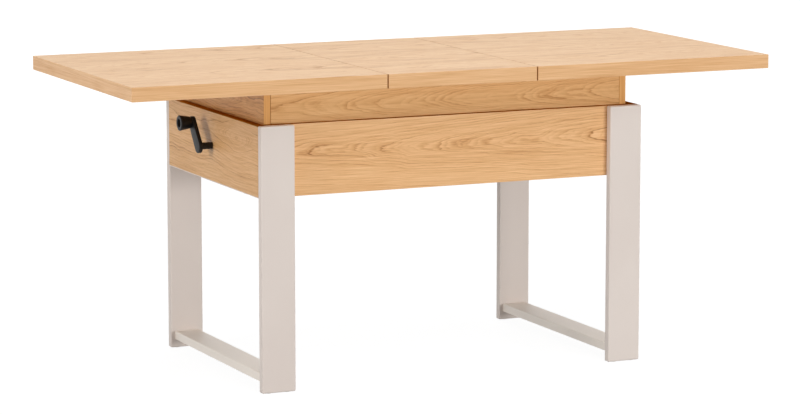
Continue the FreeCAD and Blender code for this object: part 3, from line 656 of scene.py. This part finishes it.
# crank grip: turned on the grip axle's line, ring by ring from its bore round the lip into the recess
crankGrip = {"start": -0.5056, "centre": (0.038787, 0.566145), "sides": 72,
             "rings": [(0.0, 0.00405), (0.0, 0.0122), (0.00025, 0.0128), (0.0009, 0.01305), (0.0120, 0.01495),
                       (0.0250, 0.01735), (0.0262, 0.01752), (0.0271, 0.01735), (0.0277, 0.01680),
                       (0.0280, 0.01600), (0.0280, 0.01040), (0.0277, 0.00980), (0.0270, 0.00960),
                       (0.0168, 0.00955), (0.0160, 0.00900), (0.0160, 0.00405), (0.0, 0.00405)]}

deselectAll()
along, width = crankGrip["rings"][0]
gripY, gripZ = crankGrip["centre"]
bpy.ops.mesh.primitive_circle_add(vertices=crankGrip["sides"], radius=width, rotation=(0, math.pi / 2, 0),
                                  location=(crankGrip["start"] - along, gripY, gripZ))
grip = bpy.context.object
bpy.ops.object.transform_apply(location=True, rotation=True)
bpy.ops.object.mode_set(mode="EDIT")
bpy.ops.mesh.select_mode(type="EDGE")
bpy.ops.mesh.select_all(action="SELECT")
for nextAlong, nextWidth in crankGrip["rings"][1:]:
    bpy.ops.mesh.extrude_region_move(TRANSFORM_OT_translate={"value": (along - nextAlong, 0, 0)})
    bpy.ops.transform.resize(value=(1, nextWidth / width, nextWidth / width),
                             center_override=(crankGrip["start"] - nextAlong, gripY, gripZ))
    along, width = nextAlong, nextWidth
settle(grip, "crank_grip_turned", "black_plastic", "crank_grip", "crank_grip")
print("crank grip modelled")


# floor and light: a white sweep that shows bright to the camera but lights the table softly
studio = {
    "ambient": 0.26,
    "floorSize": 120.0,
    "floorTint": (0.5, 0.5, 0.5, 1.0),
    "shownTint": (0.12, 0.12, 0.12, 1.0),
    "floorGlow": (0.935, 1.0),  # near the table and far from it
    "floorFade": (1.3, 4.5),
    "lamps": {  # place, aim, width, height, power
        "overhead": ((0.1, -1.2, 3.3), (0.1, -0.1, 0.7), 3.0, 3.0, 48.0),
        "front": ((3.8, -10.8, 0.9), (0.0, 0.0, 0.45), 5.0, 1.7, 632.0),
        "left": ((-4.8, -0.9, 1.4), (-0.5, 0.0, 0.45), 1.2, 2.4, 98.0),
        "right": ((5.5, 1.2, 1.3), (0.5, 0.0, 0.5), 2.4, 2.0, 60.0),
        "back": ((2.0, 9.0, 4.0), (0.0, 0.0, 0.45), 5.0, 2.0, 420.0),
    },
    "mirrored": "overhead",  # the only lamp that glossy faces show
}


def seenDirectly(tree):
    path = addNode(tree, "LightPath").outputs
    mirrored = calc(tree, "MAXIMUM", path["Is Glossy Ray"], path["Is Transmission Ray"])
    return calc(tree, "MAXIMUM", path["Is Camera Ray"], mirrored)


bpy.ops.mesh.primitive_plane_add(size=studio["floorSize"], location=(0, 0, 0))
floor = bpy.context.object
floor.name = "floor"
floorPaint = bpy.data.materials.new("floor_paint")
floorPaint.use_nodes = True
tree = floorPaint.node_tree
tree.nodes.clear()
spot = addNode(tree, "TexCoord").outputs["Object"]
away = addNode(tree, "VectorMath", {0: spot}, operation="LENGTH").outputs["Value"]
glow = addNode(tree, "Emission", {"Strength": spread(tree, away, *studio["floorFade"], *studio["floorGlow"])})
lit = addNode(tree, "BsdfDiffuse", {"Color": studio["floorTint"]})
pale = addNode(tree, "BsdfDiffuse", {"Color": studio["shownTint"]})
shown = addNode(tree, "AddShader", {0: pale.outputs[0], 1: glow.outputs[0]})
above = addNode(tree, "MixShader", {0: seenDirectly(tree), 1: lit.outputs[0], 2: shown.outputs[0]})
fromBelow = calc(tree, "MULTIPLY", addNode(tree, "NewGeometry").outputs["Backfacing"],
                 addNode(tree, "LightPath").outputs["Is Camera Ray"])
clear = addNode(tree, "BsdfTransparent")  # a camera under the floor sees through it
paint = addNode(tree, "MixShader", {0: fromBelow, 1: above.outputs[0], 2: clear.outputs[0]})
tree.links.new(paint.outputs[0], addNode(tree, "OutputMaterial").inputs[0])
floor.data.materials.append(floorPaint)

world = bpy.data.worlds.new("studio")
world.use_nodes = True
bpy.context.scene.world = world
tree = world.node_tree
tree.nodes.clear()
strength = spread(tree, seenDirectly(tree), 0.0, 1.0, studio["ambient"], 1.0)
sky = addNode(tree, "Background", {"Color": (1, 1, 1, 1), "Strength": strength})
tree.links.new(sky.outputs[0], addNode(tree, "OutputWorld").inputs[0])

for name, (place, aim, width, height, power) in studio["lamps"].items():
    bpy.ops.object.light_add(type="AREA", location=place)
    lamp = bpy.context.object
    lamp.name = name
    lamp.data.shape = "RECTANGLE"
    lamp.data.size = width
    lamp.data.size_y = height
    lamp.data.energy = power
    lamp.visible_glossy = name == studio["mirrored"]
    toX, toY, toZ = (end - start for start, end in zip(place, aim))
    lamp.rotation_euler = (math.atan2(math.hypot(toX, toY), -toZ), 0, math.atan2(toY, toX) - math.pi / 2)
print("floor and light set")

# camera, as solved from the table's corners
lens = {"place": (-3.2008, -7.0909, 1.566), "turn": (81.076, 0.0, -24.27), "length": 152.715, "sensor": 36.0,
        "farthest": 500.0}
bpy.ops.object.camera_add(location=lens["place"], rotation=[math.radians(angle) for angle in lens["turn"]])
camera = bpy.context.object
camera.data.sensor_width = lens["sensor"]
camera.data.lens = lens["length"]
camera.data.clip_end = lens["farthest"]
bpy.context.scene.camera = camera
bpy.context.scene.view_settings.view_transform = "Standard"
print("camera set")
